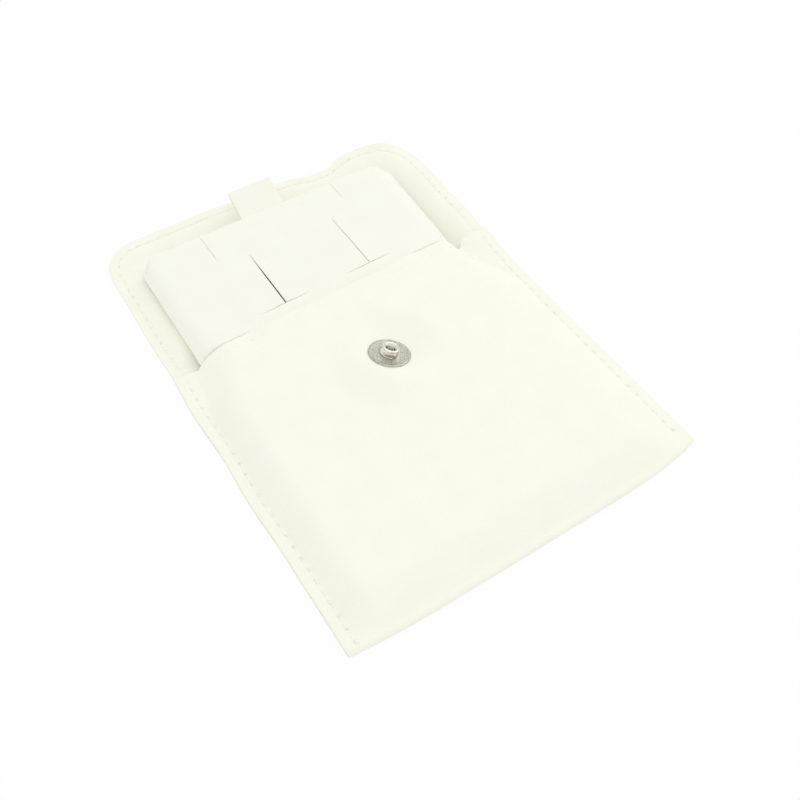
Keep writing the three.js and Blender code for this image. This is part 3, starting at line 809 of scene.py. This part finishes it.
bm = bmesh.new()
fold_angles = [math.pi * (i / 8 - 0.5) for i in range(9)]
tab_line = (
    [(TAB_LENGTH * i / 12, -1.0) for i in range(12)]
    + [(TAB_LENGTH - TAB_HALF + TAB_HALF * math.cos(a), math.sin(a)) for a in fold_angles]
    + [(TAB_LENGTH * i / 12, 1.0) for i in reversed(range(12))]
)
tab_rows = len(tab_line) - 1
TAB_COLUMNS = 24
bmesh.ops.create_grid(bm, x_segments=TAB_COLUMNS, y_segments=tab_rows, size=1)
uv = bm.loops.layers.uv.new("cloth")
tab_uv = {}
for vert in bm.verts:
    across = vert.co.x
    row = round((vert.co.y + 1) / 2 * tab_rows)
    along, side = tab_line[row]
    belly = 0.32 * math.sin(math.pi * min(1, along / TAB_LENGTH)) * (1 - 0.5 * across ** 2)
    half = (TAB_HALF - TAB_PLY / 2) + 0.5 * belly
    bow = 0.5 * (along / TAB_LENGTH) ** 2 + 0.12 * ripple(across * 6, along, 5, 31)
    point = Vector((across * TAB_WIDTH / 2, along, side * half + bow))
    tab_uv[vert] = (point.x, row * 0.7)
    turned = Matrix.Rotation(TAB_RISE, 3, "X") @ point
    vert.co = pad_spot(*(Vector(TAB_SPOT) + turned))
for face in bm.faces:
    for loop in face.loops:
        u, v = tab_uv[loop.vert]
        loop[uv].uv = (u / 1000 / UV_METRES, v / 1000 / UV_METRES)
bmesh.ops.recalc_face_normals(bm, faces=bm.faces)
pull_ribbon = mesh_piece("pull_ribbon", bm, pad_microfibre)
solid = pull_ribbon.modifiers.new("thickness", "SOLIDIFY")
solid.thickness = TAB_PLY / 1000
solid.offset = 0
edge = pull_ribbon.modifiers.new("cut edge", "BEVEL")
edge.width = 0.0001
edge.segments = 2
edge.limit_method = "ANGLE"
edge.angle_limit = math.radians(50)
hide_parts("pull_tab")
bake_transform(pull_ribbon)


# Snap stud: a thin nickel-plated flange with a finely struck face, a waisted barrel, and the hollow
# post folded over in its mouth. It has settled in the soft cloth and leans a little.
stud_height = front_height(*STUD_SPOT)
stud_place = spot(STUD_SPOT[0], STUD_SPOT[1], stud_height)
stud_turn = Vector((0, 0, 1)).rotation_difference(STUD_LEAN).to_matrix().to_4x4()


def turned_piece(name, profile, material, steps=96, place=Matrix()):
    """A closed round piece spun from a profile of (radius, height) millimetre pairs."""
    bm = bmesh.new()
    verts = [bm.verts.new((radius / 1000, 0, height / 1000)) for radius, height in profile]
    edges = [bm.edges.new((a, b)) for a, b in zip(verts, verts[1:] + verts[:1])]
    bmesh.ops.spin(bm, geom=verts + edges, cent=(0, 0, 0), axis=(0, 0, 1), angle=2 * math.pi,
                   steps=steps, use_merge=True)
    bmesh.ops.remove_doubles(bm, verts=bm.verts, dist=1e-7)
    bmesh.ops.recalc_face_normals(bm, faces=bm.faces)
    bmesh.ops.transform(bm, matrix=place, verts=bm.verts)
    return mesh_piece(name, bm, material)


def nickel(name, roughness, bright, dark, grain_mm, bump_strength):
    """Nickel plate: a warm grey mirror, broken up by the fine marks that the striking tool leaves.
    The marks are drawn coarser than the real ones so that they show."""
    material, tree, output = new_material(name)
    place = add_node(tree, "ShaderNodeTexCoord")
    grain = add_node(tree, "ShaderNodeTexNoise", {"Scale": 1000 / grain_mm, "Detail": 3.0},
                     {"Vector": (place, "Object")})
    tint = add_node(tree, "ShaderNodeValToRGB", {}, {0: (grain, 0)})
    tint.color_ramp.elements[0].color = hex_colour(dark)
    tint.color_ramp.elements[0].position = 0.3
    tint.color_ramp.elements[1].color = hex_colour(bright)
    tint.color_ramp.elements[1].position = 0.65
    bump = add_node(tree, "ShaderNodeBump", {"Strength": bump_strength, "Distance": 0.0001},
                    {"Height": (grain, 0)})
    metal = add_node(tree, "ShaderNodeBsdfPrincipled", {"Metallic": 1.0, "Roughness": roughness},
                     {"Base Color": (tint, 0), "Normal": (bump, 0)})
    tree.links.new(metal.outputs[0], output.inputs["Surface"])
    return material


struck_nickel = nickel("struck nickel plate", 0.4, "#d3d0c5", "#a09d92", 0.4, 0.45)
plain_nickel = nickel("polished nickel plate", 0.13, "#f2efe6", "#cbc8bc", 0.8, 0.15)
seat = Matrix.Translation(stud_place) @ stud_turn
POST_TILT = math.radians(6)
post_seat = seat @ Matrix.Rotation(POST_TILT, 4, Vector((0.45, 1, 0)))
stud_flange = turned_piece("stud_flange", [
    (1.2, -0.1), (STUD_RADIUS - 0.35, -0.1), (STUD_RADIUS - 0.08, 0.0), (STUD_RADIUS, 0.15),
    (STUD_RADIUS - 0.08, 0.3), (STUD_RADIUS - 0.3, 0.36), (STUD_RADIUS - 0.55, 0.3), (3.6, 0.26),
    (2.6, 0.3), (2.1, 0.42), (1.2, 0.42),
], struck_nickel, place=seat)
stud_barrel = turned_piece("stud_barrel", [
    (2.4, 0.3), (2.2, 0.44), (1.75, 0.52), (1.3, 0.72), (1.14, 1.0), (1.34, 1.3), (1.84, 1.5),
    (2.08, 1.66), (2.12, 1.82), (2.04, 1.98), (1.84, 2.08), (1.58, 2.06), (1.36, 1.92), (1.2, 1.66),
    (0.98, 1.2), (0.9, 0.3),
], plain_nickel, place=post_seat)
folded_post = turned_piece("folded_post", [
    (0.0, 0.5), (0.5, 0.5), (0.56, 1.1), (0.62, 1.4), (0.74, 1.42), (0.82, 1.2), (0.8, 1.0),
    (0.8, 0.3), (0.0, 0.3),
], struck_nickel, steps=48, place=post_seat)
for part in (stud_flange, stud_barrel, folded_post):
    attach(part, "pouch")
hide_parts("snap_stud")
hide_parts("snap_stud")
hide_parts("stud_post")


# Socket side of the snap, riveted through the flap: cap outside, socket inside, and in the socket's
# groove a ring spring of drawn brass wire, a warm yellow beside the grey plate.
spring_wire, tree, output = new_material("drawn brass wire")
place = add_node(tree, "ShaderNodeTexCoord")
draw_marks = add_node(tree, "ShaderNodeTexNoise", {"Scale": 3000.0, "Detail": 2.0},
                      {"Vector": (place, "Object")})
tint = add_node(tree, "ShaderNodeValToRGB", {}, {0: (draw_marks, 0)})
tint.color_ramp.elements[0].color = hex_colour("#a98f52")
tint.color_ramp.elements[1].color = hex_colour("#c7ad6e")
brass = add_node(tree, "ShaderNodeBsdfPrincipled", {"Metallic": 1.0, "Roughness": 0.35},
                 {"Base Color": (tint, 0)})
tree.links.new(brass.outputs[0], output.inputs["Surface"])
dress("snap_socket", plain_nickel)
dress("snap_cap", plain_nickel)
dress("socket_spring", spring_wire)
